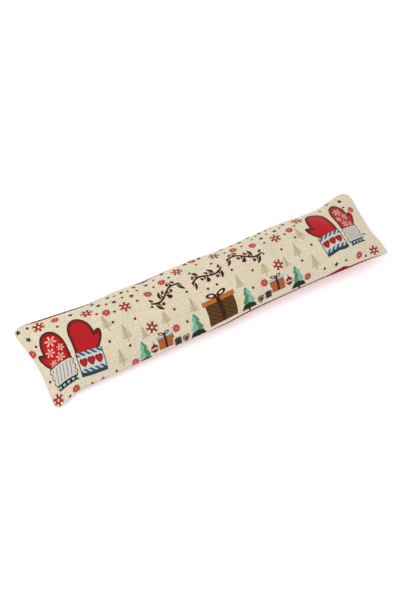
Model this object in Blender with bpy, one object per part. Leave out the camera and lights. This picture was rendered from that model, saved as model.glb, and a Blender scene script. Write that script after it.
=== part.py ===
"""Draught excluder: a long, narrow filled cushion that lies on its back.

Two cloth panels are cut to the same rectangle and sewn together all round.
The front panel is built with its filling as one filled solid, and the back
panel is the cloth sheet under it. Metres, +Z up, the length along X. The
front faces up, and the back panel rests on the plane Z = 0.
"""

import bpy
import numpy as np

# Cloth as cut and sewn, flat, before it is filled.
FLAT_WIDTH = 0.200
BACK_CLOTH = 0.0020        # upright thickness of the back panel
FRONT_RIM = 0.0022         # upright thickness of the front panel at the seam
PANEL_GAP = 0.0004         # upright gap between the front solid and the back panel

# Height of the seam above the floor, and how far each end is twisted about X.
SEAM_HEIGHT = 0.0325
TWIST_LEFT = np.radians(12.0)
TWIST_RIGHT = np.radians(-9.0)
END_X = 0.445

# The dome at each end rises from the end seam to the full crown over this run.
DOME_RUN = 0.105
DOME_POWER = 2.4
SIDE_POWER = 0.94          # under 1 makes the crown a little fuller than an arc
CROWN_SWELL = 1.04         # the filling that the floor pushes up from below
SEAM_GRIP = 3.0            # the seam holds creases and lumps flat over a third of the rise
CORNER_CUT = 0.42          # how far a rounded corner's tip moves in, as a share of its radius
CORNER_SPREAD = 1.3        # reach of that move, as a share of the radius
DROOP_REACH = 0.035        # reach of an ear's droop from its tip
LEAST_SHORTENING = 0.06    # the widest chord that still bulges, as a share under the flat width

# Long sides of the filled cushion in plan: a row for each section along X,
# with the seam's place on the low side (-Y) and on the high side (+Y).
SIDES = {
    "x": (-0.445, -0.415, -0.385, -0.330, -0.270, -0.200, -0.137, -0.080, 0.000, 0.050,
          0.150, 0.250, 0.330, 0.370, 0.405, 0.440),
    "low_y": (-0.1015, -0.0915, -0.0810, -0.0790, -0.0795, -0.0805, -0.0815, -0.0835, -0.0890,
              -0.0870, -0.0875, -0.0900, -0.0940, -0.0955, -0.0990, -0.1040),
    "high_y": (0.1030, 0.1020, 0.0990, 0.0945, 0.0900, 0.0918, 0.0890, 0.0910, 0.0892, 0.0862,
               0.0868, 0.0885, 0.0848, 0.0875, 0.0965, 0.1000),
}

# Short ends in plan: a row for each place across, from the low side (-1) to
# the high side (+1), with the seam's X at the left and the right end.
ENDS = {
    "across": (-1.0, -0.7, -0.3, 0.0, 0.4, 0.8, 1.0),
    "left_x": (-0.4375, -0.4340, -0.4320, -0.4325, -0.4390, -0.4490, -0.4510),
    "right_x": (0.4430, 0.4455, 0.4420, 0.4440, 0.4490, 0.4560, 0.4540),
}

# Corners: which end and side, the radius that rounds the tip in plan, and how
# far the ear hangs below the line of the seam.
CORNERS = {
    "end": (-1, -1, 1, 1),
    "side": (1, -1, 1, -1),
    "radius": (0.011, 0.009, 0.008, 0.006),
    "droop": (0.002, 0.006, 0.002, 0.000),
}

# Main creases in the top: where each starts at the seam, the direction that
# it runs in, and its length, half width and depth.
CREASES = {
    "x": (-0.137, -0.415, -0.425, 0.425, 0.425, -0.270, 0.050, 0.335, -0.330, -0.035),
    "y": (0.092, -0.090, 0.092, 0.090, -0.096, 0.092, 0.088, 0.088, -0.082, -0.088),
    "heading_deg": (-80, 48, -38, -140, 142, -100, -75, -110, 75, 100),
    "length": (0.040, 0.075, 0.050, 0.070, 0.045, 0.030, 0.035, 0.045, 0.040, 0.030),
    "half_width": (0.010, 0.013, 0.012, 0.012, 0.012, 0.014, 0.015, 0.013, 0.015, 0.014),
    "depth": (0.0040, 0.0055, 0.0030, 0.0050, 0.0025, 0.0018, 0.0018, 0.0025, 0.0020, 0.0016),
}

CREASE_DEEPEST = 0.35      # where a crease is deepest, as a share of its length

# Broad unevenness of the filling: each wave's length along X, phase and height.
LUMPS = {
    "wave": (0.310, 0.170, 0.092),
    "phase": (0.6, 2.1, 4.0),
    "height": (0.0012, 0.0009, 0.0006),
}
LUMP_SLANT = 0.4           # how far the lumps lean along X for each metre across

# Grid of the solids, denser towards the ends and the sides.
STATIONS = 73
ACROSS = 17
END_CROWDING = 0.68

TAPESTRY_COLOUR = (0.66, 0.56, 0.40, 1.0)
RED_CLOTH_COLOUR = (0.42, 0.010, 0.014, 1.0)


def smooth_through(table_x, table_y, at):
    """A smooth curve through the table's points: cubic between rows, level with the mean slope."""
    xs = np.array(table_x)
    ys = np.array(table_y)
    slope = np.gradient(ys, xs)
    at = np.clip(at, xs[0], xs[-1])
    row = np.clip(np.searchsorted(xs, at) - 1, 0, len(xs) - 2)
    run = xs[row + 1] - xs[row]
    u = (at - xs[row]) / run
    start = ys[row] * (1 + 2 * u) * (1 - u) ** 2 + slope[row] * run * u * (1 - u) ** 2
    finish = ys[row + 1] * u ** 2 * (3 - 2 * u) - slope[row + 1] * run * u ** 2 * (1 - u)
    return start + finish


def plan_grid(along, across):
    """Plan places of a grid: the ends set X, the sides set Y, and each corner is rounded."""
    left = smooth_through(ENDS["across"], ENDS["left_x"], across)
    right = smooth_through(ENDS["across"], ENDS["right_x"], across)
    x = left + (right - left) * (along + 1) / 2
    low = smooth_through(SIDES["x"], SIDES["low_y"], x)
    high = smooth_through(SIDES["x"], SIDES["high_y"], x)
    y = low + (high - low) * (across + 1) / 2
    for end, side, radius in zip(CORNERS["end"], CORNERS["side"], CORNERS["radius"]):
        near = corner_nearness(x, y, end, side, CORNER_SPREAD * radius)
        x = x - end * CORNER_CUT * radius * near
        y = y - side * CORNER_CUT * radius * near
    return x, y


def corner_nearness(x, y, end, side, reach):
    """1 at a corner's tip, and falling away as a bell over the reach."""
    tip_x = smooth_through(ENDS["across"], ENDS["left_x" if end < 0 else "right_x"], float(side))
    tip_y = smooth_through(SIDES["x"], SIDES["low_y" if side < 0 else "high_y"], tip_x)
    return np.exp(-((x - tip_x) ** 2 + (y - tip_y) ** 2) / reach ** 2)


def seam_sheet(x, y):
    """Height of the twisted sheet that the seam lies in."""
    twist = TWIST_LEFT + (TWIST_RIGHT - TWIST_LEFT) * (x + END_X) / (2 * END_X)
    z = SEAM_HEIGHT + y * np.tan(twist)
    for end, side, droop in zip(CORNERS["end"], CORNERS["side"], CORNERS["droop"]):
        z = z - droop * corner_nearness(x, y, end, side, DROOP_REACH)
    return z


def free_crown(x):
    """Rise of the arc that the flat width makes over the chord between the two sides.

    The chord and the flat width give the arc's half angle a, as sin(a)/a is
    their ratio, and the rise is half the chord times tan(a/2).
    """
    low = smooth_through(SIDES["x"], SIDES["low_y"], x)
    high = smooth_through(SIDES["x"], SIDES["high_y"], x)
    chord = high - low
    shortening = np.clip(1 - chord / FLAT_WIDTH, LEAST_SHORTENING, 1)
    half_angle = np.sqrt(10 - np.sqrt(100 - 120 * shortening))
    return chord / 2 * np.tan(half_angle / 2)


def fullness(along, across):
    """From 0 at the seam to 1 on the ridge: an arc across times a dome at each end."""
    arc = np.clip(1 - across ** 2, 0, 1) ** SIDE_POWER
    from_end = END_X * (1 - np.abs(along))
    dome = 1 - np.clip(1 - from_end / DOME_RUN, 0, 1) ** DOME_POWER
    return arc * dome


def crease_depth(x, y):
    """Depth of the soft troughs that run in from the seam."""
    depth = np.zeros_like(x)
    for row in range(len(CREASES["x"])):
        heading = np.radians(CREASES["heading_deg"][row])
        from_x = x - CREASES["x"][row]
        from_y = y - CREASES["y"][row]
        ahead = (from_x * np.cos(heading) + from_y * np.sin(heading)) / CREASES["length"][row]
        aside = (from_y * np.cos(heading) - from_x * np.sin(heading)) / CREASES["half_width"][row]
        run_in = np.clip(1 - np.abs(ahead - CREASE_DEEPEST) / (1 - CREASE_DEEPEST), 0, 1)
        depth += CREASES["depth"][row] * np.exp(-aside ** 2) * run_in
    return depth


def lumps(x, y):
    """Broad unevenness of the filling along the length, turned a little across it."""
    height = np.zeros_like(x)
    for wave, phase, rise in zip(LUMPS["wave"], LUMPS["phase"], LUMPS["height"]):
        height += rise * np.sin(2 * np.pi * (x + LUMP_SLANT * y) / wave + phase)
    return height


def crowded(count):
    """Places from -1 to 1 that lie closer together towards both ends, as a sine does."""
    sweep = np.sin(np.linspace(-1, 1, count) * np.pi / 2 * END_CROWDING)
    return sweep / sweep[-1]


def surfaces():
    """Plan places and the heights of the four faces, from the top down."""
    along, across = np.meshgrid(crowded(STATIONS), crowded(ACROSS), indexing="ij")
    x, y = plan_grid(along, across)
    seam = seam_sheet(x, y)
    full = fullness(along, across)
    rise = free_crown(x)
    away_from_seam = np.clip(full * SEAM_GRIP, 0, 1)
    crown = CROWN_SWELL * rise * full + (lumps(x, y) - crease_depth(x, y)) * away_from_seam
    crown = np.maximum(crown, 0.0)
    belly = rise * full
    back_under = np.maximum(seam - FRONT_RIM / 2 - BACK_CLOTH - belly, 0.0)
    back_inside = back_under + BACK_CLOTH
    front_under = back_inside + PANEL_GAP
    front_top = np.maximum(seam + crown, front_under) + FRONT_RIM
    centre_x = (x.max() + x.min()) / 2
    centre_y = (y.max() + y.min()) / 2
    return x - centre_x, y - centre_y, front_top, front_under, back_inside, back_under


def closed_mesh(name, x, y, upper, lower):
    """One closed body between two heights over the same plan grid."""
    rows, columns = x.shape
    points = np.concatenate([
        np.stack([x, y, upper], axis=-1).reshape(-1, 3),
        np.stack([x, y, lower], axis=-1).reshape(-1, 3),
    ])
    number = np.arange(rows * columns).reshape(rows, columns)
    under = number + rows * columns
    corner = (number[:-1, :-1], number[1:, :-1], number[1:, 1:], number[:-1, 1:])
    top = np.stack([part.ravel() for part in corner], axis=1)
    bottom = top[:, [0, 3, 2, 1]] + rows * columns
    rim = np.concatenate([number[:, 0], number[-1, 1:], number[-2::-1, -1], number[0, -2:0:-1]])
    rim_under = np.concatenate([under[:, 0], under[-1, 1:], under[-2::-1, -1], under[0, -2:0:-1]])
    wall = np.stack([rim, rim_under, np.roll(rim_under, -1), np.roll(rim, -1)], axis=1)
    triangles = []
    for quads in (top, bottom, wall):
        diagonal = quads[:, [0, 1, 2]], quads[:, [0, 2, 3]]
        triangles.extend(diagonal)
    mesh = bpy.data.meshes.new(name)
    mesh.from_pydata(points.tolist(), [], np.concatenate(triangles).tolist())
    mesh.validate()
    mesh.update()
    mesh.shade_smooth()
    return mesh


def cloth_material(name, colour, roughness):
    material = bpy.data.materials.new(name)
    material.use_nodes = True
    principled = material.node_tree.nodes["Principled BSDF"]
    principled.inputs["Base Color"].default_value = colour
    principled.inputs["Roughness"].default_value = roughness
    principled.inputs["Metallic"].default_value = 0.0
    return material


def add_piece(name, mesh, material):
    piece = bpy.data.objects.new(name, mesh)
    piece.data.materials.append(material)
    bpy.context.scene.collection.objects.link(piece)
    return piece


for old in list(bpy.data.objects):
    bpy.data.objects.remove(old, do_unlink=True)

plan_x, plan_y, front_top, front_under, back_inside, back_under = surfaces()

front_mesh = closed_mesh("front_panel", plan_x, plan_y, front_top, front_under)
add_piece("front_panel", front_mesh, cloth_material("tapestry_cloth", TAPESTRY_COLOUR, 0.92))

back_mesh = closed_mesh("back_panel", plan_x, plan_y, back_inside, back_under)
add_piece("back_panel", back_mesh, cloth_material("red_cloth", RED_CLOTH_COLOUR, 0.88))
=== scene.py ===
import bpy
import numpy as np
from mathutils import Matrix, Vector


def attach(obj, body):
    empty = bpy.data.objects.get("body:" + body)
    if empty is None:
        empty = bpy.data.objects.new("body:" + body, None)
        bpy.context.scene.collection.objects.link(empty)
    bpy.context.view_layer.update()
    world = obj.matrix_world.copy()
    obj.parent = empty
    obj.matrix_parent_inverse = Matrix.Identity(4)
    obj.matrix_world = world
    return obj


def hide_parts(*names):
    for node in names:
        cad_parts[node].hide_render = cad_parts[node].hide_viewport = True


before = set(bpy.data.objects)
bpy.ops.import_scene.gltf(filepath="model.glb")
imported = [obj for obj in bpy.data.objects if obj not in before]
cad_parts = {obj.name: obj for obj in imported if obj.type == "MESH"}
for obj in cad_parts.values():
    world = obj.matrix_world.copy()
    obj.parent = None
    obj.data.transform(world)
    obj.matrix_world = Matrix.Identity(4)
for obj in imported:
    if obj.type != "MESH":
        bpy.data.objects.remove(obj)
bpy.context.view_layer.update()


# Camera: a product photographer's view from above the left end, turned on its
# own axis so that the cushion rises to the right. The place it looks at lies
# near the cushion's middle, at half its height.
CAMERA_LENS = 50.0
CAMERA_AIM = Vector((-0.0366, -0.0119, 0.040))
CAMERA_DISTANCE = 1.935
CAMERA_AZIMUTH = np.radians(-48.58)
CAMERA_ELEVATION = np.radians(67.27)
CAMERA_ROLL = np.radians(22.09)

camera_back = Vector((
    np.sin(CAMERA_AZIMUTH) * np.cos(CAMERA_ELEVATION),
    -np.cos(CAMERA_AZIMUTH) * np.cos(CAMERA_ELEVATION),
    np.sin(CAMERA_ELEVATION),
))
camera = bpy.data.objects.new("camera", bpy.data.cameras.new("camera"))
camera.data.lens = CAMERA_LENS
camera_turn = camera_back.to_track_quat("Z", "Y").to_matrix() @ Matrix.Rotation(CAMERA_ROLL, 3, "Z")
camera.matrix_world = Matrix.Translation(CAMERA_AIM + CAMERA_DISTANCE * camera_back) @ camera_turn.to_4x4()
bpy.context.scene.collection.objects.link(camera)
bpy.context.scene.camera = camera


# Cover and filling: two cloths cut to 90 by 20 cm, sewn edge to edge all round
# and stuffed with loose fibre. This section works out the stuffed shape, which
# lies on its back with its seam twisted, as a function of the flat cloth.
FLAT_LENGTH = 0.900
FLAT_WIDTH = 0.200
SEAM_HEIGHT = 0.0330
TWIST_LEFT = np.radians(12.0)
TWIST_RIGHT = np.radians(-9.0)
DOME_RUN = 0.105
DOME_POWER = 2.4
DOME_EXTRA = 0.0105        # cloth that the climb at each end takes up
DOME_EXTRA_RUN = 0.040
CROWN_SWELL = 1.04
FLAT_ROUNDING = 0.0030     # how softly the belly turns into the flat that it rests on
CORNER_CUT = 0.42
CORNER_SPREAD = 0.8
DROOP_REACH = 0.035
LEAST_SHORTENING = 0.02
FLATTEST_BEND = 0.05       # share of the arc's bend that is left at an end seam
CREASE_DEEPEST = 0.35
LUMP_SLANT = 0.4
SEAM_GRIP = 3.0

# A row for each section along X: the low side's and the high side's place.
SIDES = {
    "x": (-0.445, -0.415, -0.385, -0.330, -0.270, -0.200, -0.137, -0.080, 0.000, 0.050,
          0.150, 0.250, 0.330, 0.370, 0.405, 0.440),
    "low_y": (-0.1000, -0.0915, -0.0810, -0.0790, -0.0795, -0.0805, -0.0815, -0.0835, -0.0890,
              -0.0870, -0.0875, -0.0900, -0.0940, -0.0955, -0.0990, -0.1040),
    "high_y": (0.1030, 0.1020, 0.0990, 0.0945, 0.0900, 0.0918, 0.0890, 0.0910, 0.0892, 0.0862,
               0.0868, 0.0885, 0.0848, 0.0875, 0.0965, 0.1000),
}
# A row for each place across, from the low side to the high side.
ENDS = {
    "across": (-1.0, -0.7, -0.3, 0.0, 0.4, 0.8, 1.0),
    "left_x": (-0.4370, -0.4335, -0.4320, -0.4325, -0.4390, -0.4490, -0.4510),
    "right_x": (0.4430, 0.4455, 0.4420, 0.4440, 0.4490, 0.4560, 0.4540),
}
CORNERS = {
    "end": (-1, -1, 1, 1),
    "side": (1, -1, 1, -1),
    "radius": (0.013, 0.014, 0.009, 0.007),
    "droop": (0.002, 0.006, 0.002, 0.000),
}
CREASES = {
    "x": (-0.137, -0.415, -0.425, 0.425, 0.425, -0.270, 0.050, 0.335, -0.330, -0.035),
    "y": (0.092, -0.090, 0.092, 0.090, -0.096, 0.092, 0.088, 0.088, -0.082, -0.088),
    "heading_deg": (-80, 48, -38, -140, 142, -100, -75, -110, 75, 100),
    "length": (0.040, 0.075, 0.050, 0.070, 0.045, 0.030, 0.035, 0.045, 0.040, 0.030),
    "half_width": (0.008, 0.013, 0.012, 0.012, 0.012, 0.014, 0.015, 0.013, 0.015, 0.014),
    "depth": (0.0055, 0.0060, 0.0030, 0.0050, 0.0025, 0.0018, 0.0018, 0.0025, 0.0020, 0.0016),
}
LUMPS = {
    "wave": (0.310, 0.170, 0.092),
    "phase": (0.6, 2.1, 4.0),
    "height": (0.0012, 0.0009, 0.0006),
}
# How far each side's seam is pulled in over the top, where the red back shows beyond it.
TURNS = {
    "x": (-0.45, -0.40, -0.30, -0.24, -0.17, -0.137, -0.11, -0.06, -0.02, 0.02, 0.12, 0.24,
          0.275, 0.322, 0.338, 0.375, 0.42, 0.45),
    "low": (0.0, 0.0, 0.0, 0.0, 0.0, 0.0, 0.0, 0.0016, 0.0046, 0.0056, 0.0058, 0.0058,
            0.0062, 0.0112, 0.0066, 0.0062, 0.0058, 0.0038),
    "high": (0.0030, 0.0076, 0.0070, 0.0044, 0.0026, 0.0078, 0.0044, 0.0020, 0.0010, 0.0, 0.0, 0.0,
             0.0006, 0.0012, 0.0018, 0.0030, 0.0012, 0.0),
}
TURN_LIFT = 0.8            # rise of the seam for each metre that it is pulled in
TURN_RUN = 0.055           # reach of that turn across the back cloth, as a share of half its width
TURN_FADE = 0.012          # the turn dies away over this run at each end


def smooth_through(table_x, table_y, at):
    """A smooth curve through the table's points: cubic between rows, level with the mean slope."""
    xs = np.array(table_x)
    ys = np.array(table_y)
    slope = np.gradient(ys, xs)
    at = np.clip(at, xs[0], xs[-1])
    row = np.clip(np.searchsorted(xs, at) - 1, 0, len(xs) - 2)
    run = xs[row + 1] - xs[row]
    u = (at - xs[row]) / run
    start = ys[row] * (1 + 2 * u) * (1 - u) ** 2 + slope[row] * run * u * (1 - u) ** 2
    finish = ys[row + 1] * u ** 2 * (3 - 2 * u) - slope[row + 1] * run * u ** 2 * (1 - u)
    return start + finish


def corner_nearness(x, y, end, side, reach):
    """1 at a corner's tip, and falling away as a bell over the reach."""
    tip_x = smooth_through(ENDS["across"], ENDS["left_x" if end < 0 else "right_x"], float(side))
    tip_y = smooth_through(SIDES["x"], SIDES["low_y" if side < 0 else "high_y"], tip_x)
    return np.exp(-((x - tip_x) ** 2 + (y - tip_y) ** 2) / reach ** 2)


def crease_depth(x, y):
    """Depth of the soft troughs that run in from the seam: a bell across, a tent along."""
    depth = np.zeros_like(x)
    for row in range(len(CREASES["x"])):
        heading = np.radians(CREASES["heading_deg"][row])
        from_x = x - CREASES["x"][row]
        from_y = y - CREASES["y"][row]
        ahead = (from_x * np.cos(heading) + from_y * np.sin(heading)) / CREASES["length"][row]
        aside = (from_y * np.cos(heading) - from_x * np.sin(heading)) / CREASES["half_width"][row]
        run_in = np.clip(1 - np.abs(ahead - CREASE_DEEPEST) / (1 - CREASE_DEEPEST), 0, 1)
        depth += CREASES["depth"][row] * np.exp(-aside ** 2) * run_in
    return depth


def lumps(x, y):
    """Broad unevenness of the filling: three sines along the length."""
    height = np.zeros_like(x)
    for wave, phase, rise in zip(LUMPS["wave"], LUMPS["phase"], LUMPS["height"]):
        height += rise * np.sin(2 * np.pi * (x + LUMP_SLANT * y) / wave + phase)
    return height


def soft_floor(height, rounding):
    """The height above the floor: level below it, itself above it, and a parabola between."""
    turn = np.clip(height + rounding, 0, 2 * rounding)
    return np.where(height > rounding, height, turn ** 2 / (4 * rounding))


def stuffed(along, across, back):
    """Place of a point of the flat cloth on the stuffed shape.

    Across, the cloth is an arc whose chord is the distance between the two
    sides and whose length is the flat width: sin(a) / a is their ratio, and the
    half angle a is worked out from the first three terms of its series. Along,
    it climbs a dome at each end. The front arc stands up from the twisted seam
    and the back arc hangs down to the floor. Where the seam is pulled in over
    the top, the back swells out beyond it as x exp(1 - x).
    """
    left = smooth_through(ENDS["across"], ENDS["left_x"], across)
    right = smooth_through(ENDS["across"], ENDS["right_x"], across)
    from_end = FLAT_LENGTH / 2 * (1 - np.abs(along))
    climb = DOME_EXTRA * (1 - across ** 2)
    plan = from_end - climb * (1 - np.exp(-from_end / DOME_EXTRA_RUN))
    middle = FLAT_LENGTH / 2 - climb
    x = left + (right - left) * (1 + np.sign(along) * (1 - plan / middle)) / 2
    dome = 1 - np.clip(1 - plan / DOME_RUN, 0, 1) ** DOME_POWER

    low = smooth_through(SIDES["x"], SIDES["low_y"], x)
    high = smooth_through(SIDES["x"], SIDES["high_y"], x)
    turn_low = np.interp(x, TURNS["x"], TURNS["low"])
    turn_high = np.interp(x, TURNS["x"], TURNS["high"])
    seam_low = low + turn_low
    seam_high = high - turn_high
    shortening = np.clip(1 - (high - low) / FLAT_WIDTH, LEAST_SHORTENING, 1)
    half_angle = np.sqrt(10 - np.sqrt(100 - 120 * shortening))
    rise = (high - low) / 2 * np.tan(half_angle / 2)
    bend = half_angle * np.maximum(dome, FLATTEST_BEND)
    y = (seam_low + seam_high) / 2 + (seam_high - seam_low) / 2 * np.sin(bend * across) / np.sin(bend)
    arc = (np.cos(bend * across) - np.cos(bend)) / (1 - np.cos(bend))
    full = arc * dome
    for end, side, radius in zip(CORNERS["end"], CORNERS["side"], CORNERS["radius"]):
        near = corner_nearness(x, y, end, side, CORNER_SPREAD * radius)
        x = x - end * CORNER_CUT * radius * near
        y = y - side * CORNER_CUT * radius * near

    half_length = FLAT_LENGTH / 2
    twist = TWIST_LEFT + (TWIST_RIGHT - TWIST_LEFT) * (x + half_length) / FLAT_LENGTH
    seam = SEAM_HEIGHT + y * np.tan(twist)
    seam = seam + TURN_LIFT * (turn_low * (1 - across) + turn_high * (1 + across)) / 2
    for end, side, droop in zip(CORNERS["end"], CORNERS["side"], CORNERS["droop"]):
        seam = seam - droop * corner_nearness(x, y, end, side, DROOP_REACH)
    if back:
        from_low = (1 + across) / TURN_RUN
        from_high = (1 - across) / TURN_RUN
        swell_low = turn_low * from_low * np.exp(1 - from_low)
        swell_high = turn_high * from_high * np.exp(1 - from_high)
        y = y + (swell_high - swell_low) * (1 - np.exp(-from_end / TURN_FADE))
        z = soft_floor(seam - rise * full, FLAT_ROUNDING)
    else:
        grip = np.clip(full * SEAM_GRIP, 0, 1)
        z = seam + CROWN_SWELL * rise * full + (lumps(x, y) - crease_depth(x, y)) * grip
    return np.stack([x, y, z], axis=-1)


COARSE = 0.004             # spacing of the grid that the cloth simulation moves
coarse_along = np.linspace(-1, 1, int(round(FLAT_LENGTH / COARSE)) + 1)
coarse_across = np.linspace(-1, 1, int(round(FLAT_WIDTH / COARSE)) + 1)
cloth_along, cloth_across = np.meshgrid(coarse_along, coarse_across, indexing="ij")
front_rest = stuffed(cloth_along, cloth_across, False)
back_rest = stuffed(cloth_along, cloth_across, True)
plan_low = front_rest.reshape(-1, 3).min(axis=0)
plan_high = front_rest.reshape(-1, 3).max(axis=0)
plan_centre = np.array([(plan_low[0] + plan_high[0]) / 2, (plan_low[1] + plan_high[1]) / 2, 0.0])
front_rest -= plan_centre
back_rest -= plan_centre
rim = np.zeros(cloth_along.shape, bool)
rim[[0, -1], :] = True
rim[:, [0, -1]] = True
back_rest[rim] = front_rest[rim]


# Stuffing: Blender's cloth fills the two sewn panels out from that shape. Every
# edge keeps the length that it has in the flat cut, so the cloth finds its own
# soft folds. The seam and the part of the belly on the floor are held.
STUFFING_FRAMES = 18
STUFFING_EASE = 1.016      # how much fuller the cloth is cut than the cover it makes
STUFFING_FILL = 1.05       # volume that the filling pushes for, over the volume at the start
STUFFING_CAP = 0.004       # how far a point may move
HELD_HEIGHT = 0.0004       # the belly is held where it is lower than this


def closed_cover():
    """Quads of both panels on one set of points: the front grid, then the back grid without its rim."""
    rows, columns = cloth_along.shape
    front_number = np.arange(rows * columns).reshape(rows, columns)
    back_number = front_number.copy()
    inner = (rows - 2) * (columns - 2)
    back_number[1:-1, 1:-1] = rows * columns + np.arange(inner).reshape(rows - 2, columns - 2)
    return front_number, back_number, np.concatenate([quads_of(front_number), quads_of(back_number)[:, ::-1]])


def quads_of(number):
    """The four corners of each cell of a grid of point numbers, turning the same way as the grid."""
    corners = (number[:-1, :-1], number[1:, :-1], number[1:, 1:], number[:-1, 1:])
    return np.stack([corner.ravel() for corner in corners], axis=1)


def volume_in(places, quads):
    """Volume inside closed quads: the sum of the cones from the origin to their two triangles each."""
    triangles = np.concatenate([quads[:, [0, 1, 2]], quads[:, [0, 2, 3]]])
    first, second, third = (places[triangles[:, corner]] for corner in range(3))
    return float(np.einsum("ij,ij->i", first, np.cross(second, third)).sum() / 6)


def stuff(front, back):
    """Both panels after the cloth simulation, each as a grid of places."""
    front_number, back_number, quads = closed_cover()
    start = np.concatenate([front.reshape(-1, 3), back[1:-1, 1:-1].reshape(-1, 3)])
    flat_front = np.stack([
        cloth_along * FLAT_LENGTH / 2 * STUFFING_EASE,
        cloth_across * FLAT_WIDTH / 2 * STUFFING_EASE,
        np.zeros_like(cloth_along),
    ], axis=-1)
    flat = np.concatenate([flat_front.reshape(-1, 3), flat_front[1:-1, 1:-1].reshape(-1, 3)])
    mesh = bpy.data.meshes.new("stuffing")
    mesh.from_pydata(start.tolist(), [], quads.tolist())
    cover = bpy.data.objects.new("stuffing", mesh)
    bpy.context.scene.collection.objects.link(cover)
    cover.shape_key_add(name="stuffed")
    cut = cover.shape_key_add(name="flat")
    cut.data.foreach_set("co", flat.astype(np.float32).ravel())
    held = np.union1d(front_number[rim], back_number[back[..., 2] < HELD_HEIGHT])
    cover.vertex_groups.new(name="held").add(held.tolist(), 1.0, "REPLACE")

    cloth = cover.modifiers.new("cloth", "CLOTH")
    settings = cloth.settings
    settings.quality = 5
    settings.mass = 0.05
    settings.air_damping = 1.0
    settings.tension_stiffness = 80
    settings.compression_stiffness = 80
    settings.shear_stiffness = 10
    settings.bending_stiffness = 0.02
    settings.tension_damping = 10
    settings.compression_damping = 10
    settings.shear_damping = 10
    settings.use_pressure = True
    settings.uniform_pressure_force = 0
    settings.use_pressure_volume = True
    settings.target_volume = volume_in(start, quads) * STUFFING_FILL
    settings.pressure_factor = 60
    settings.vertex_group_mass = "held"
    settings.rest_shape_key = cut
    settings.effector_weights.gravity = 0
    cloth.collision_settings.use_collision = False
    cloth.collision_settings.use_self_collision = False
    cloth.point_cache.frame_start = 1
    cloth.point_cache.frame_end = STUFFING_FRAMES
    scene = bpy.context.scene
    for step in range(1, STUFFING_FRAMES + 1):
        scene.frame_set(step)
    evaluated = cover.evaluated_get(bpy.context.evaluated_depsgraph_get())
    places = np.zeros(len(start) * 3, np.float32)
    evaluated.data.vertices.foreach_get("co", places)
    scene.frame_set(1)
    bpy.data.objects.remove(cover, do_unlink=True)

    moved = places.reshape(-1, 3) - start
    distance = np.linalg.norm(moved, axis=1, keepdims=True)
    moved *= np.minimum(1, STUFFING_CAP / np.maximum(distance, 1e-9))
    settled = start + moved
    settled[:, 2] = soft_floor(settled[:, 2], FLAT_ROUNDING)
    return settled[front_number], settled[back_number]


front_places, back_places = front_rest, back_rest
front_places, back_places = stuff(front_rest, back_rest)


# Seam: both cloths turn in at the edge and are sewn through from the inside, so
# each makes a small roll beside the seam, with little puckers where the thread
# pulls. This section reads the stuffed shape finely and adds rolls and puckers.
FINE = 0.0021              # spacing of the finished grid, past the crowded lines beside the seam
EDGE_LINES = (0.0, 0.0004, 0.0009, 0.0015, 0.0022, 0.0031, 0.0043)
ROLL_HEIGHT = 0.0009
ROLL_AT = 0.0016           # distance of the roll's crest from the seam, along the cloth
PUCKER_HEIGHT = 0.00045
PUCKER_REACH = 0.008
PUCKER_WAVE = 0.0125
PUCKER_SWING = 0.083       # length over which the puckers crowd together and spread out
PUCKER_CROWDING = 1.6      # how far they do, in radians of the pucker's wave
EDGE_GAP = 0.5             # the back's edge is this far in from the seam, as a share of the first line
BACK_THICKNESS = 0.0012    # away from the seam
LINING_GAP = 0.0004        # from the back cloth's inner face to the filling that the front holds
UV_MIDDLE = np.array([0.5, 0.5])
UV_INNER = np.array([0.0, -0.25])      # where the inner face lies on the UV map, from the outer one


def fine_lines(length):
    """Grid lines from -1 to 1 over a length of cloth: crowded at both edges, evenly spaced between."""
    edge = np.array(EDGE_LINES)
    spaces = int(round((length - 2 * edge[-1]) / FINE))
    middle = np.linspace(edge[-1], length - edge[-1], spaces + 1)
    return np.concatenate([edge[:-1], middle, length - edge[-2::-1]]) / length * 2 - 1


def between(grid, at):
    """The grid's rows read at places from -1 to 1: a Catmull-Rom cubic through four rows at a time."""
    last = len(grid) - 1
    padded = np.concatenate([2 * grid[:1] - grid[1:2], grid, 2 * grid[-1:] - grid[-2:-1]])
    place = (at + 1) / 2 * last
    row = np.clip(np.floor(place).astype(int), 0, last - 1)
    u = (place - row).reshape(-1, 1, 1)
    before, here, there, after = (padded[row + step] for step in range(4))
    slope_here = (there - before) / 2
    slope_there = (after - here) / 2
    return (here * (1 + 2 * u) * (1 - u) ** 2 + slope_here * u * (1 - u) ** 2
            + there * u ** 2 * (3 - 2 * u) - slope_there * u ** 2 * (1 - u))


fine_along = fine_lines(FLAT_LENGTH)
fine_across = fine_lines(FLAT_WIDTH)
from_ends = (1 - np.abs(fine_along)) * FLAT_LENGTH / 2
from_sides = (1 - np.abs(fine_across)) * FLAT_WIDTH / 2


def normals(surface, outward):
    """The surface's unit normals, on the side that outward (1 or -1) chooses."""
    normal = np.cross(np.gradient(surface, fine_along, axis=0), np.gradient(surface, fine_across, axis=1))
    return normal * outward / np.maximum(np.linalg.norm(normal, axis=-1, keepdims=True), 1e-12)


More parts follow.
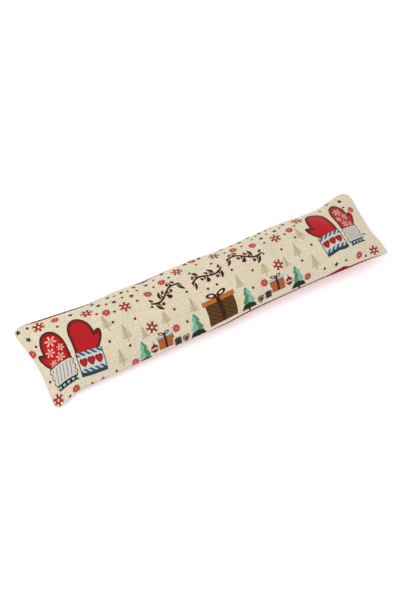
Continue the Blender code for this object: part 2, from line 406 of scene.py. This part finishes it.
def sewn(coarse, outward, phase):
    """A panel's outer surface: the coarse grid read finely, with the seam's roll and puckers.

    Both stand along the surface's normal. The roll rises from the seam to a
    crest and falls away as x exp(1 - x). A pucker is a sine along the seam
    whose phase swings slowly, and it fades as a bell with distance from the seam.
    """
    surface = between(coarse, fine_along)
    surface = between(surface.transpose(1, 0, 2), fine_across).transpose(1, 0, 2)
    height = np.zeros(surface.shape[:2])
    seams = ((from_sides[None, :], fine_along[:, None] * FLAT_LENGTH / 2, from_ends[:, None]),
             (from_ends[:, None], fine_across[None, :] * FLAT_WIDTH / 2, from_sides[None, :]))
    for distance, travelled, from_corner in seams:
        crest = distance / ROLL_AT
        corner_fade = from_corner / (from_corner + 2 * ROLL_AT)
        swing = PUCKER_CROWDING * np.sin(2 * np.pi * travelled / PUCKER_SWING + phase)
        pucker = np.sin(2 * np.pi * travelled / PUCKER_WAVE + swing + phase) * crest / (1 + crest)
        pucker = pucker * np.exp(-(distance / PUCKER_REACH) ** 2) * PUCKER_HEIGHT
        height = height + corner_fade * (ROLL_HEIGHT * crest * np.exp(1 - crest) + pucker)
    return surface + normals(surface, outward) * height[..., None]


def drawn_in(surface):
    """The surface with its edge drawn in towards the first line beside it, so that two edges don't touch."""
    drawn = surface.copy()
    for lines in (drawn, drawn.transpose(1, 0, 2)):
        lines[0] += EDGE_GAP * (lines[1] - lines[0])
        lines[-1] += EDGE_GAP * (lines[-2] - lines[-1])
    return drawn


def closed_panel(name, outer, inner, outward):
    """A closed mesh between two grids that share the outer one's rim.

    Its UV map holds the flat cloth's places in metres, moved to lie between 0
    and 1: the outer grid's around 0.5, 0.5 and the inner grid's beside it.
    """
    rows, columns = outer.shape[:2]
    number = np.arange(rows * columns).reshape(rows, columns)
    inner_number = number.copy()
    inner_count = (rows - 2) * (columns - 2)
    inner_number[1:-1, 1:-1] = rows * columns + np.arange(inner_count).reshape(rows - 2, columns - 2)
    cells = quads_of(number)
    turned_over = cells[:, [0, 3, 2, 1]]
    outer_cells, inner_cells = (cells, turned_over) if outward > 0 else (turned_over, cells)
    quads = np.concatenate([outer_cells, inner_number.ravel()[inner_cells]])
    places = np.concatenate([outer.reshape(-1, 3), inner[1:-1, 1:-1].reshape(-1, 3)])
    mesh = bpy.data.meshes.new(name)
    mesh.from_pydata(places.tolist(), [], quads.tolist())
    mesh.shade_smooth()

    cut = np.meshgrid(fine_along * FLAT_LENGTH / 2, fine_across * FLAT_WIDTH / 2, indexing="ij")
    flat = np.stack(cut, axis=-1).reshape(-1, 2) + UV_MIDDLE
    corners = np.concatenate([flat[outer_cells], flat[inner_cells] + UV_INNER])
    mesh.uv_layers.new(name="cloth").uv.foreach_set("vector", corners.astype(np.float32).ravel())
    panel = bpy.data.objects.new(name, mesh)
    bpy.context.scene.collection.objects.link(panel)
    return panel


front_outer = sewn(front_places, outward=1, phase=0.3)
back_outer = sewn(back_places, outward=-1, phase=1.9)
above_floor = np.maximum(back_outer[..., 2].min(), 0)
front_outer[..., 2] -= above_floor
back_outer[..., 2] = np.maximum(back_outer[..., 2] - above_floor, 0)
back_outer = drawn_in(back_outer)
apart = np.linalg.norm(front_outer - back_outer, axis=-1, keepdims=True)
from_seam = np.minimum(from_sides[None, :], from_ends[:, None])[..., None]


def within_back(most, of_apart, of_seam):
    """The back's outer face moved inwards by the most, or by less where the cloths or the seam are near."""
    depth = np.minimum(most, np.minimum(of_apart * apart, of_seam * from_seam))
    return back_outer + normals(back_outer, 1) * depth


back_inner = within_back(BACK_THICKNESS, of_apart=0.30, of_seam=0.08)
front_inner = within_back(BACK_THICKNESS + LINING_GAP, of_apart=0.40, of_seam=0.14)


# Weave: both cloths are plain-woven, the tapestry from coarse cotton-look yarn
# and the back from a finer one. One shader node group gives the threads that
# cross over and under each other, with named sockets for the two spacings.
class Field:
    """A number that changes over the cloth, held as a socket; arithmetic on it adds Math nodes."""

    def __init__(self, socket):
        self.socket = socket

    def __add__(self, other):
        return worked("ADD", self, other)

    def __radd__(self, other):
        return worked("ADD", other, self)

    def __sub__(self, other):
        return worked("SUBTRACT", self, other)

    def __rsub__(self, other):
        return worked("SUBTRACT", other, self)

    def __mul__(self, other):
        return worked("MULTIPLY", self, other)

    def __rmul__(self, other):
        return worked("MULTIPLY", other, self)

    def __truediv__(self, other):
        return worked("DIVIDE", self, other)

    def __neg__(self):
        return worked("MULTIPLY", self, -1.0)

    def __abs__(self):
        return worked("ABSOLUTE", self)

    def __lt__(self, other):
        return worked("LESS_THAN", self, other)

    def __gt__(self, other):
        return worked("GREATER_THAN", self, other)

    def __and__(self, other):
        return worked("MULTIPLY", self, other)

    def __or__(self, other):
        return worked("MAXIMUM", self, other)


def worked(operation, *values):
    """One Math node, in the node tree of the first field among its values."""
    tree = next(value for value in values if isinstance(value, Field)).socket.id_data
    node = tree.nodes.new("ShaderNodeMath")
    node.operation = operation
    for value, entry in zip(values, node.inputs):
        if isinstance(value, Field):
            tree.links.new(value.socket, entry)
        else:
            entry.default_value = value
    return Field(node.outputs[0])


def parts_of(vector_socket):
    """The three numbers of a vector socket, as fields."""
    tree = vector_socket.id_data
    node = tree.nodes.new("ShaderNodeSeparateXYZ")
    tree.links.new(vector_socket, node.inputs[0])
    return [Field(output) for output in node.outputs]


def joined(x, y, z):
    """The vector socket that holds three numbers or fields."""
    tree = next(value for value in (x, y, z) if isinstance(value, Field)).socket.id_data
    node = tree.nodes.new("ShaderNodeCombineXYZ")
    for value, entry in zip((x, y, z), node.inputs):
        if isinstance(value, Field):
            tree.links.new(value.socket, entry)
        else:
            entry.default_value = value
    return node.outputs[0]


def weave_group():
    """Plain weave. Where a cell's column and row number add to an odd number the warp is on top.

    The thread on top is a sine hump across itself that dips at both ends of
    the cell, and each thread and each crossing has its own random tone.
    """
    group = bpy.data.node_groups.new("weave", "ShaderNodeTree")
    group.interface.new_socket("Cloth place", in_out="INPUT", socket_type="NodeSocketVector")
    group.interface.new_socket("Warp spacing", in_out="INPUT", socket_type="NodeSocketFloat")
    group.interface.new_socket("Weft spacing", in_out="INPUT", socket_type="NodeSocketFloat")
    group.interface.new_socket("Height", in_out="OUTPUT", socket_type="NodeSocketFloat")
    group.interface.new_socket("Thread tone", in_out="OUTPUT", socket_type="NodeSocketFloat")
    group.interface.new_socket("Crossing place", in_out="OUTPUT", socket_type="NodeSocketVector")
    entry = group.nodes.new("NodeGroupInput")
    leave = group.nodes.new("NodeGroupOutput")
    along, across, _ = parts_of(entry.outputs["Cloth place"])
    warp_spacing = Field(entry.outputs["Warp spacing"])
    weft_spacing = Field(entry.outputs["Weft spacing"])
    warp = along / warp_spacing
    weft = across / weft_spacing
    warp_number = worked("FLOOR", warp)
    weft_number = worked("FLOOR", weft)
    group.links.new(joined((warp_number + 0.5) * warp_spacing, (weft_number + 0.5) * weft_spacing, 0.0),
                    leave.inputs["Crossing place"])

    warp_hump = worked("SINE", (warp - warp_number) * np.pi)
    weft_hump = worked("SINE", (weft - weft_number) * np.pi)
    warp_on_top = worked("PINGPONG", warp_number + weft_number, 1.0)
    warp_height = warp_hump * (0.5 + 0.5 * weft_hump)
    weft_height = weft_hump * (0.5 + 0.5 * warp_hump)
    group.links.new((weft_height + warp_on_top * (warp_height - weft_height)).socket, leave.inputs["Height"])

    tones = []
    places = (
        joined(warp_number, 0.5, 0.0),
        joined(0.5, weft_number, 0.0),
        joined(warp_number, weft_number, 0.0),
    )
    for place in places:
        noise = group.nodes.new("ShaderNodeTexWhiteNoise")
        noise.noise_dimensions = "2D"
        group.links.new(place, noise.inputs["Vector"])
        tones.append(Field(noise.outputs["Value"]))
    group.links.new((0.3 * tones[0] + 0.3 * tones[1] + 0.4 * tones[2]).socket, leave.inputs["Thread tone"])
    return group


weave = weave_group()


def yarn(red, green, blue):
    """A yarn's colour as the shader takes it, from its plain screen values of 0 to 255."""
    screen = np.array([red, green, blue]) / 255
    linear = np.where(screen > 0.04045, ((screen + 0.055) / 1.055) ** 2.4, screen / 12.92)
    return (*linear.tolist(), 1.0)


def woven_material(name, warp_spacing, weft_spacing, relief):
    """A matt cloth material with the weave's bump: its tree, its shader and the weave node."""
    material = bpy.data.materials.new(name)
    material.use_nodes = True
    tree = material.node_tree
    shader = tree.nodes["Principled BSDF"]
    shader.inputs["Roughness"].default_value = 0.92
    shader.inputs["Specular IOR Level"].default_value = 0.2
    shader.inputs["Sheen Weight"].default_value = 0.12
    shader.inputs["Sheen Roughness"].default_value = 0.5
    cloth_map = tree.nodes.new("ShaderNodeUVMap")
    cloth_map.uv_map = "cloth"
    weaving = tree.nodes.new("ShaderNodeGroup")
    weaving.node_tree = weave
    weaving.inputs["Warp spacing"].default_value = warp_spacing
    weaving.inputs["Weft spacing"].default_value = weft_spacing
    tree.links.new(cloth_map.outputs["UV"], weaving.inputs["Cloth place"])
    bump = tree.nodes.new("ShaderNodeBump")
    bump.inputs["Strength"].default_value = 0.6
    bump.inputs["Distance"].default_value = relief
    tree.links.new(weaving.outputs["Height"], bump.inputs["Height"])
    tree.links.new(bump.outputs["Normal"], shader.inputs["Normal"])
    return material, tree, shader, weaving


def mixed(share, first, second):
    """A colour between two, each a colour or a colour socket, by a field."""
    tree = share.socket.id_data
    node = tree.nodes.new("ShaderNodeMix")
    node.data_type = "RGBA"
    tree.links.new(share.socket, node.inputs[0])
    for value, entry in ((first, node.inputs[6]), (second, node.inputs[7])):
        if isinstance(value, tuple):
            entry.default_value = value
        else:
            tree.links.new(value, entry)
    return node.outputs[2]


def cloud(tree, place, size, detail):
    """Soft random patches of about that size over the cloth, from 0 to 1."""
    noise = tree.nodes.new("ShaderNodeTexNoise")
    noise.noise_dimensions = "2D"
    noise.inputs["Scale"].default_value = 1 / size
    noise.inputs["Detail"].default_value = detail
    tree.links.new(place, noise.inputs["Vector"])
    return Field(noise.outputs["Fac"])


# Tapestry: a winter pattern woven in coloured yarns on a cream ground. Each
# motif lies on the flat cloth by the tables below, in millimetres from the
# pattern's middle and from the panel's. The right half mirrors the left.
PATTERN_MIDDLE = -9
ROLL_OVER = 0.070          # how far the right half rolls over towards the high side
ROLL_OVER_END = 430
# How much further the right end rolls over, from none at the first of each pair to all at the second.
END_ROLL = 14
END_ROLL_ALONG = (290, 330)
END_ROLL_ACROSS = (-90, -10)

SNOWFLAKES = ((386, 83), (282, 64), (202, 34), (50, 74), (170, -35), (426, -85))
ROSETTES = ((348, 82), (246, 40), (141, 45), (96, 62), (0, 93), (119, -58), (434, 32), (379, -93),
            (232, -95))
STARS = ((432, 89), (420, 65), (313, 79), (258, 90), (249, 72), (216, 60), (174, 56), (220, 86), (187, 83),
         (155, 87), (128, 82), (80, 92), (19, 91), (314, -100))
DOTS = ((409, 91), (416, 43), (353, 57), (265, 48), (229, 33), (233, 64), (245, 11), (271, -25),
        (428, -41), (205, 81), (194, 63), (173, 78), (155, 68), (171, 36), (119, 60), (106, 85),
        (75, 66), (29, 51), (0, 72), (197, -3), (150, 8), (105, -17), (60, 8), (12, -6), (88, -55),
        (232, -52), (280, -95), (341, -98), (398, -98))
TWIGS = ((260, 18), (230, -21), (260, -68), (133, -24), (61, -28), (191, -42))
FIRS = ((69, -72), (206, -83))
BAUBLES = ((181, -81),)
HEARTS = ((101, -90),)
# Columns of the next three: from the middle, across, half size, and the set of colours or the turn.
PRESENTS = ((0, -54, 38, 1), (151, -72, 21, 2), (121, -88, 10, 3))
SPRIGS = ((106, 26, 47, 14), (2, 26, 45, -8))
SNOW_MITTENS = ((395, -6, 69, -2),)
HEART_MITTENS = ((314, -10, 71, -6),)

# A row for each kind of motif: its places, half its size, and how much of that it reaches along and across.
MOTIFS = {
    "twig": (TWIGS, 21, 0.6, 1.0),
    "snow mitten": (SNOW_MITTENS, 71, 0.545, 1.0),
    "heart mitten": (HEART_MITTENS, 71, 0.545, 1.0),
    "present": (PRESENTS, 25, 1.12, 0.99),
    "fir": (FIRS, 30, 0.78, 1.0),
    "bauble": (BAUBLES, 13, 0.8, 1.0),
    "heart": (HEARTS, 12, 0.9, 0.9),
    "sprig": (SPRIGS, 45, 1.0, 0.62),
    "snowflake": (SNOWFLAKES, 15.5, 1.0, 1.0),
    "rosette": (ROSETTES, 10.5, 1.0, 1.0),
    "star": (STARS, 7.5, 1.0, 1.0),
    "dot": (DOTS, 3.3, 1.0, 1.0),
}
KINDS = list(MOTIFS)
TURNING = ("snowflake", "rosette", "star")     # kinds that lie at any angle
TURN_STEP = 23             # degrees from one of them to the next of its kind, under a sixth of a turn
LEANING = ("sprig", "snow mitten", "heart mitten")


def share_between(value, limits):
    """0 up to the first limit, 1 from the second, and even between."""
    return np.clip((value - limits[0]) / (limits[1] - limits[0]), 0, 1)


def laid_motifs():
    """Both copies of each motif: kind number, place, turn in degrees, half size and variant.

    The variant is under 0 if the motif is mirrored.
    """
    for kind, (rows, usual_half, _, _) in MOTIFS.items():
        for number, row in enumerate(rows):
            from_middle, across = row[:2]
            half = row[2] if len(row) > 2 else usual_half
            turn = row[3] if kind in LEANING else TURN_STEP * number % 60 if kind in TURNING else 0
            variant = row[3] if kind == "present" else 1
            yield KINDS.index(kind) + 1, PATTERN_MIDDLE - from_middle, across, turn, half, variant
            if from_middle > 0:
                roll = ROLL_OVER * from_middle * max(0, 1 - (from_middle / ROLL_OVER_END) ** 4)
                end_roll = share_between(from_middle, END_ROLL_ALONG) * share_between(across, END_ROLL_ACROSS)
                roll += END_ROLL * end_roll
                lean = -turn if kind in LEANING else turn
                yield KINDS.index(kind) + 1, PATTERN_MIDDLE + from_middle, across + roll, lean, half, -variant


MOTIF_MARGIN = 0.0016      # a motif's faces reach this far past its own half size


def lay_out_motifs(mesh):
    """Give each outer face the motif that covers it: centre and kind, then turn, half size and variant."""
    rows, columns = len(fine_along) - 1, len(fine_across) - 1
    middle_along = (fine_along[:-1] + fine_along[1:]) / 2 * FLAT_LENGTH / 2
    middle_across = (fine_across[:-1] + fine_across[1:]) / 2 * FLAT_WIDTH / 2
    centre = np.zeros((2 * rows * columns, 3), np.float32)
    turned = np.ones((2 * rows * columns, 3), np.float32)
    for kind, along, across, turn, half, variant in laid_motifs():
        along, across, half = along / 1000, across / 1000, half / 1000
        _, _, share_along, share_across = MOTIFS[KINDS[kind - 1]]
        cosine, sine = np.cos(np.radians(turn)), np.sin(np.radians(turn))
        from_along = (middle_along - along)[:, None]
        from_across = (middle_across - across)[None, :]
        reach_along = np.abs(from_along * cosine + from_across * sine)
        reach_across = np.abs(from_across * cosine - from_along * sine)
        inside = reach_along < half * share_along + MOTIF_MARGIN
        inside &= reach_across < half * share_across + MOTIF_MARGIN
        if share_along == share_across:
            inside &= np.hypot(reach_along, reach_across) < half + MOTIF_MARGIN
        covered = np.flatnonzero(inside.ravel())
        centre[covered] = (along, across, kind)
        turned[covered] = (np.radians(turn), half, variant)
    for name, values in (("motif_centre", centre), ("motif_turn", turned)):
        mesh.attributes.new(name, "FLOAT_VECTOR", "FACE").data.foreach_set("vector", values.ravel())


front = closed_panel("tapestry_front", front_outer, front_inner, outward=1)
lay_out_motifs(front.data)

CREAM = yarn(232, 220, 194)
ECRU = yarn(212, 202, 172)
BLUSH = yarn(234, 212, 192)
MAROON = yarn(58, 20, 20)
DARK_RED = yarn(124, 20, 22)
BRICK = yarn(152, 38, 35)
SCARLET = yarn(184, 22, 28)
ROSE_RED = yarn(186, 44, 46)
PINK = yarn(240, 184, 160)
BLACK_GREEN = yarn(26, 38, 30)
BROWN = yarn(60, 26, 20)
RUST = yarn(112, 32, 28)
KHAKI = yarn(180, 162, 122)
TEAL = yarn(126, 184, 158)
GREEN = yarn(74, 140, 96)
OLIVE = yarn(94, 60, 18)
ORANGE = yarn(188, 104, 44)
ICE_BLUE = yarn(168, 198, 204)
SLATE = yarn(44, 60, 78)
GREY_WHITE = yarn(212, 206, 198)
GREY = yarn(150, 144, 136)

TAPESTRY_WARP = 0.00070
TAPESTRY_WEFT = 0.00055
TAPESTRY_RELIEF = 0.00026
tapestry, tapestry_tree, tapestry_shader, tapestry_weave = woven_material(
    "tapestry", TAPESTRY_WARP, TAPESTRY_WEFT, TAPESTRY_RELIEF)
thread_tone = Field(tapestry_weave.outputs["Thread tone"])
crossing_along, crossing_across, _ = parts_of(tapestry_weave.outputs["Crossing place"])


def motif_attribute(name):
    """The three numbers that a face holds about its motif."""
    attribute = tapestry_tree.nodes.new("ShaderNodeAttribute")
    attribute.attribute_name = name
    return parts_of(attribute.outputs["Vector"])


centre_along, centre_across, motif_kind = motif_attribute("motif_centre")
motif_angle, motif_half, motif_variant = motif_attribute("motif_turn")
from_along = (crossing_along - float(UV_MIDDLE[0]) - centre_along) / motif_half
from_across = (crossing_across - float(UV_MIDDLE[1]) - centre_across) / motif_half
turn_cosine = worked("COSINE", motif_angle)
turn_sine = worked("SINE", motif_angle)
motif_x = (from_along * turn_cosine + from_across * turn_sine) * worked("SIGN", motif_variant)
motif_y = from_across * turn_cosine - from_along * turn_sine


def far(x, y):
    """Distance from 0, 0."""
    return worked("SQRT", x * x + y * y)


def spokes(x, y, count):
    """Places along and beside the nearest of a number of evenly turned spokes."""
    from_spoke = worked("PINGPONG", worked("ARCTAN2", x, y), float(np.pi / count))
    radius = far(x, y)
    return radius * worked("COSINE", from_spoke), radius * worked("SINE", from_spoke)


def ring_between(value, low, high):
    """1 where the value lies between two others."""
    return (value > low) & (value < high)


def snowflake(x, y):
    """Six lozenge arms with forked tips, small lozenges between them, and a light middle."""
    along, aside = spokes(x, y, 6)
    widening = worked("MINIMUM", along * 0.34, (1.0 - along) * 0.42)
    fork = ring_between(along, 0.52, 0.9) & (abs(aside - (along - 0.5) * 0.62) < 0.06)
    yield BRICK, (aside < widening) | fork
    between_along, between_aside = spokes(y, x, 6)
    yield DARK_RED, (between_aside < 0.1) & ring_between(between_along, 0.2, 0.46)
    yield PINK, far(x, y) < 0.21


def rosette(x, y):
    """Eight round petals with a light dot between each two, and a light middle."""
    radius = far(x, y)
    petal = worked("COSINE", worked("ARCTAN2", x, y) * 8.0)
    yield ROSE_RED, radius < 0.84 + 0.14 * petal
    yield DARK_RED, ring_between(radius, 0.26, 0.78) & (petal < -0.80)
    yield PINK, (radius < 0.16) | (ring_between(radius, 0.42, 0.64) & (petal > 0.78))


def star(x, y):
    """Five straight-sided points."""
    along, aside = spokes(x, y, 5)
    yield BLACK_GREEN, along + aside * 2.4 < 1.0


def dot(x, y):
    """A round dot."""
    yield RUST, far(x, y) < 1.0


def twig(x, y):
    """A bare fir in pale strokes: twigs that slope down from a thin trunk."""
    height = (y + 0.72) / 1.7
    reach = 0.60 * (1.0 - height)
    stroke = worked("FRACT", height * 6.5 + abs(x) * 3.0) < 0.6
    yield KHAKI, stroke & (abs(x) < reach) & (height > 0.04) & (thread_tone > 0.24)
    yield KHAKI, (abs(x) < 0.06) & (y < 0.92)


def fir(x, y):
    """Three tiers, light on the left and dark on the right, over a dark foot."""
    height = (y + 1.0) / 2.0
    within_tier = worked("FRACT", height * 3.0)
    reach = (1.0 - height) * 0.58 + 0.16 * (1.0 - within_tier)
    shape = (abs(x) < reach) & ring_between(height, 0.06, 0.96)
    yield GREEN, shape
    yield TEAL, shape & (x < 0.06 * worked("SINE", height * 19.0))
    yield BLACK_GREEN, shape & (height + 0.12 * abs(x) < 0.30)
    yield BLACK_GREEN, (abs(x) < 0.09) & (height < 0.08)


def bauble(x, y):
    """A glass ball on a thread, with a light band."""
    low = y + 0.22
    radius = far(x, low)
    yield MAROON, (abs(x) < 0.06) & (y > 0.3)
    yield DARK_RED, radius < 0.74
    yield GREY_WHITE, (radius < 0.66) & (abs(low - 0.1 * worked("COSINE", x * 9.0)) < 0.15)
    yield OLIVE, (abs(x) < 0.2) & ring_between(y, 0.46, 0.66)


def heart_size(x, y):
    """1 on a heart's outline and less inside it."""
    lifted = y - 0.62 * worked("SQRT", abs(x))
    return x * x + lifted * lifted


def heart(x, y):
    """A gingerbread heart with a line of icing inside its edge."""
    size = heart_size(x * 1.3, (y + 0.3) * 1.3)
    yield BROWN, size < 1.0
    yield OLIVE, size < 0.82
    yield CREAM, ring_between(size, 0.42, 0.56)


def present(x, y):
    """A box with a lid, a ribbon and a bow, in one of three sets of colours."""
    x = x * 0.8
    variant = abs(motif_variant)
    second = variant > 1.5
    third = variant > 2.5
    box_colour = mixed(third, mixed(second, OLIVE, ORANGE), SLATE)
    lid_colour = mixed(third, mixed(second, ORANGE, ICE_BLUE), BROWN)
    ribbon_colour = mixed(second, BROWN, MAROON)
    box = (abs(x) < 0.74) & ring_between(y, -0.96, 0.34)
    yield BROWN, (abs(x) < 0.78) & ring_between(y, -1.0, 0.34)
    yield box_colour, box
    yield BROWN, box & (worked("FRACT", x * 3.4 + y * 3.4) < 0.18)
    yield lid_colour, (abs(x) < 0.88) & ring_between(y, 0.3, 0.6)
    yield ribbon_colour, (abs(x) < 0.11) & ring_between(y, -0.96, 0.62)
    loop = far((abs(x) - 0.27) / 0.27, (y - 0.76 - 0.25 * (abs(x) - 0.27)) / 0.17)
    yield ribbon_colour, ring_between(loop, 0.45, 1.0)


def sprig(x, y):
    """A waving stem with a leaf at each step, on one side and then the other, and a berry facing it."""
    above = y - 0.16 * worked("SINE", x * 3.4)
    step = worked("ROUND", x * 2.6)
    beside = x - step / 2.6
    side = worked("PINGPONG", step, 1.0) * 2.0 - 1.0
    above = above * side
    leaf_along = beside * 0.5 + above * 0.866
    leaf_aside = abs(above * 0.5 - beside * 0.866 + 0.01)
    leaf = (leaf_aside < 0.19 * worked("SINE", leaf_along * 5.7)) & ring_between(leaf_along, 0.02, 0.55)
    inside = abs(x) < 0.94
    yield MAROON, inside & ((abs(above) < 0.056) | (leaf & (leaf_aside > 0.016)))
    yield DARK_RED, inside & (far(beside + 0.06, above + 0.19) < 0.095)


def mitten(x, y):
    """One mitten, fingers up: a dark edge, a shaded rim, and the hand and thumb inside it."""
    rise = worked("MAXIMUM", y - 0.30, 0.0)
    beside = x + 0.11
    hand_size = (beside * beside) * 7.4 + (rise * rise) * 2.6
    thumb_along = (x - 0.25) * 0.50 + (y - 0.04) * 0.87
    thumb_aside = (x - 0.25) * 0.87 - (y - 0.04) * 0.50
    thumb_size = (thumb_aside * thumb_aside) * 59.0 + (thumb_along * thumb_along) * 9.0
    above_wrist = y > -0.26
    yield MAROON, ((hand_size < 1.16) | (thumb_size < 1.4)) & above_wrist
    yield DARK_RED, ((hand_size < 0.98) | (thumb_size < 0.84)) & above_wrist
    yield SCARLET, ((hand_size < 0.66) | (thumb_size < 0.36)) & above_wrist


# A row for each flake on the mitten: its place, and half its size.
MITTEN_FLAKES = ((-0.13, 0.56, 0.20), (0.05, 0.24, 0.16), (-0.31, 0.22, 0.13), (-0.18, -0.06, 0.16),
                 (0.10, -0.12, 0.12))


def snow_mitten(x, y):
    """A mitten strewn with snowflakes, with a furry cuff over a dark knitted edge."""
    x = -x
    yield from mitten(x, y)
    for flake_x, flake_y, flake_half in MITTEN_FLAKES:
        along, aside = spokes((x - flake_x) / flake_half, (y - flake_y) / flake_half, 6)
        yield PINK, (aside < 0.14) & ring_between(along, 0.30, 0.95) | (along < 0.14)
    side = abs(x + 0.09) - 0.025 * worked("SINE", y * 34.0)
    yield MAROON, (side < 0.42) & ring_between(y, -0.82, -0.20)
    yield GREY_WHITE, (side < 0.39) & ring_between(y, -0.80, -0.23)
    yield GREY, (side < 0.34) & ring_between(y, -0.76, -0.28) & (worked("FRACT", x * 8.0 + y * 2.0) < 0.3)
    band = (abs(x + 0.09) < 0.37) & ring_between(y, -0.98, -0.80)
    yield BLACK_GREEN, band
    yield ICE_BLUE, band & (abs(y + 0.89) < 0.035) & (worked("FRACT", x * 6.0) < 0.55)


def heart_mitten(x, y):
    """A plain mitten whose cuff has a check, a pale band with three hearts, and a dark edge."""
    yield from mitten(x, y)
    from_cuff = x + 0.09
    cuff = (abs(from_cuff) < 0.43) & ring_between(y, -0.98, -0.21)
    yield SLATE, cuff
    check = worked("FRACT", x * 5.5 + y * 5.5) < 0.55
    yield ICE_BLUE, cuff & check & (abs(from_cuff) < 0.40) & (y > -0.86)
    yield GREY_WHITE, cuff & (abs(y + 0.54) < 0.20) & (abs(from_cuff) < 0.40)
    heart_x = worked("PINGPONG", from_cuff + 0.125, 0.125) - 0.125
    size = heart_size(heart_x * 9.0, (y + 0.575) * 8.4)
    on_band = abs(from_cuff) < 0.375
    yield DARK_RED, on_band & (size < 1.2)
    yield SCARLET, on_band & (size < 0.55)


# Sizes of the soft patches in the ground yarn, of the pink ones over it, and of the thick places in a thread.
GROUND_PATCH = 0.007
BLUSH_PATCH = 0.04
SLUB = 0.0034

crossing = tapestry_weave.outputs["Crossing place"]
ground = mixed(cloud(tapestry_tree, crossing, GROUND_PATCH, 3.0) * 1.6 - 0.3, ECRU, CREAM)
colour = mixed((cloud(tapestry_tree, crossing, BLUSH_PATCH, 2.0) - 0.4) * 1.4, ground, BLUSH)
DRAWN = {
    "twig": twig,
    "snow mitten": snow_mitten,
    "heart mitten": heart_mitten,
    "present": present,
    "fir": fir,
    "bauble": bauble,
    "heart": heart,
    "sprig": sprig,
    "snowflake": snowflake,
    "rosette": rosette,
    "star": star,
    "dot": dot,
}
for kind, draw in DRAWN.items():
    here = worked("COMPARE", motif_kind, float(KINDS.index(kind) + 1), 0.5)
    for motif_colour, mask in draw(motif_x, motif_y):
        colour = mixed(mask & here, colour, motif_colour)
slubs = cloud(tapestry_tree, crossing, SLUB, 1.0)
thread_height = Field(tapestry_weave.outputs["Height"])
# Random thread tone and slubs, with painted shade: the weave's height lightens the crowns of the threads and
# darkens the dips between them.
thread_tone_and_painted_shade = 0.59 + 0.26 * thread_tone + 0.14 * thread_height + 0.32 * slubs
shading = tapestry_tree.nodes.new("ShaderNodeMix")
shading.data_type = "RGBA"
shading.blend_type = "MULTIPLY"
shading.inputs[0].default_value = 1.0
tapestry_tree.links.new(colour, shading.inputs[6])
tapestry_tree.links.new(joined(thread_tone_and_painted_shade, thread_tone_and_painted_shade, thread_tone_and_painted_shade), shading.inputs[7])
tapestry_tree.links.new(shading.outputs[2], tapestry_shader.inputs["Base Color"])
front.data.materials.append(tapestry)
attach(front, "root")
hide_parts("front_panel")


# Back cloth: plain red cotton in a plain weave, dyed through, with the thread tone uneven from end to end,
# and painted shade that deepens the red along the seam, where the groove between the two cloths lies in
# shadow.
RED_SPACING = 0.00045
RED_RELIEF = 0.00012
RED = yarn(186, 20, 36)
RED_DEEP = yarn(104, 6, 18)
RED_PATCH = 0.03           # size of the soft patches of tone
PAINTED_SEAM_SHADE = 0.006         # how far from the seam the red is painted deeper, as shade in the groove between the two cloths

back = closed_panel("red_back", back_outer, back_inner, outward=-1)
red_cloth, red_tree, red_shader, red_weave = woven_material("red cloth", RED_SPACING, RED_SPACING, RED_RELIEF)
red_crossing = red_weave.outputs["Crossing place"]
# Random thread tone and soft patches, with painted shade: the weave's height lightens the crowns of the
# threads and darkens the dips between them.
red_tone_and_painted_shade = 0.35 * Field(red_weave.outputs["Thread tone"]) + 0.45 * Field(red_weave.outputs["Height"])
red_tone_and_painted_shade = red_tone_and_painted_shade + 0.4 * cloud(red_tree, red_crossing, RED_PATCH, 3.0)
red_along, red_across, _ = parts_of(red_crossing)
from_end_seam = FLAT_LENGTH / 2 - abs(red_along - float(UV_MIDDLE[0]))
from_side_seam = FLAT_WIDTH / 2 - abs(red_across - float(UV_MIDDLE[1]))
# Painted shade: the red darkens towards the seam, where the groove between the two cloths is in shadow.
painted_seam_shade = worked("MINIMUM", worked("MINIMUM", from_end_seam, from_side_seam) / PAINTED_SEAM_SHADE, 1.0)
red_tree.links.new(mixed(red_tone_and_painted_shade * painted_seam_shade, RED_DEEP, RED), red_shader.inputs["Base Color"])
back.data.materials.append(red_cloth)
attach(back, "root")
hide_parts("back_panel")


# Floor and light: a plain white studio table, faintly lit from below as a
# light table is, in bright even light with a broad lamp above the left end.
FLOOR_REACH = 6.0
floor_corners = [(x * FLOOR_REACH, y * FLOOR_REACH, 0) for x, y in ((-1, -1), (1, -1), (1, 1), (-1, 1))]
floor_mesh = bpy.data.meshes.new("floor")
floor_mesh.from_pydata(floor_corners, [], [(0, 1, 2, 3)])
floor = bpy.data.objects.new("floor", floor_mesh)
floor_paint = bpy.data.materials.new("floor")
floor_paint.use_nodes = True
floor_shader = floor_paint.node_tree.nodes["Principled BSDF"]
floor_shader.inputs["Base Color"].default_value = (0.9, 0.9, 0.9, 1)
floor_shader.inputs["Emission Color"].default_value = (1, 1, 1, 1)
floor_shader.inputs["Emission Strength"].default_value = 0.28
floor_mesh.materials.append(floor_paint)
bpy.context.scene.collection.objects.link(floor)

world = bpy.data.worlds.new("studio")
world.use_nodes = True
world.node_tree.nodes["Background"].inputs["Color"].default_value = (1, 1, 1, 1)
world.node_tree.nodes["Background"].inputs["Strength"].default_value = 0.85
bpy.context.scene.world = world
bpy.context.scene.view_settings.view_transform = "Standard"


def area_light(name, place, target, size, power):
    """A square lamp that faces its target."""
    light = bpy.data.objects.new(name, bpy.data.lights.new(name, "AREA"))
    light.data.size = size
    light.data.energy = power
    aim = Vector(target) - Vector(place)
    light.matrix_world = Matrix.Translation(place) @ aim.to_track_quat("-Z", "Y").to_matrix().to_4x4()
    bpy.context.scene.collection.objects.link(light)


area_light("key", place=(-1.3, 0.3, 2.2), target=(0, 0, 0), size=1.4, power=19)
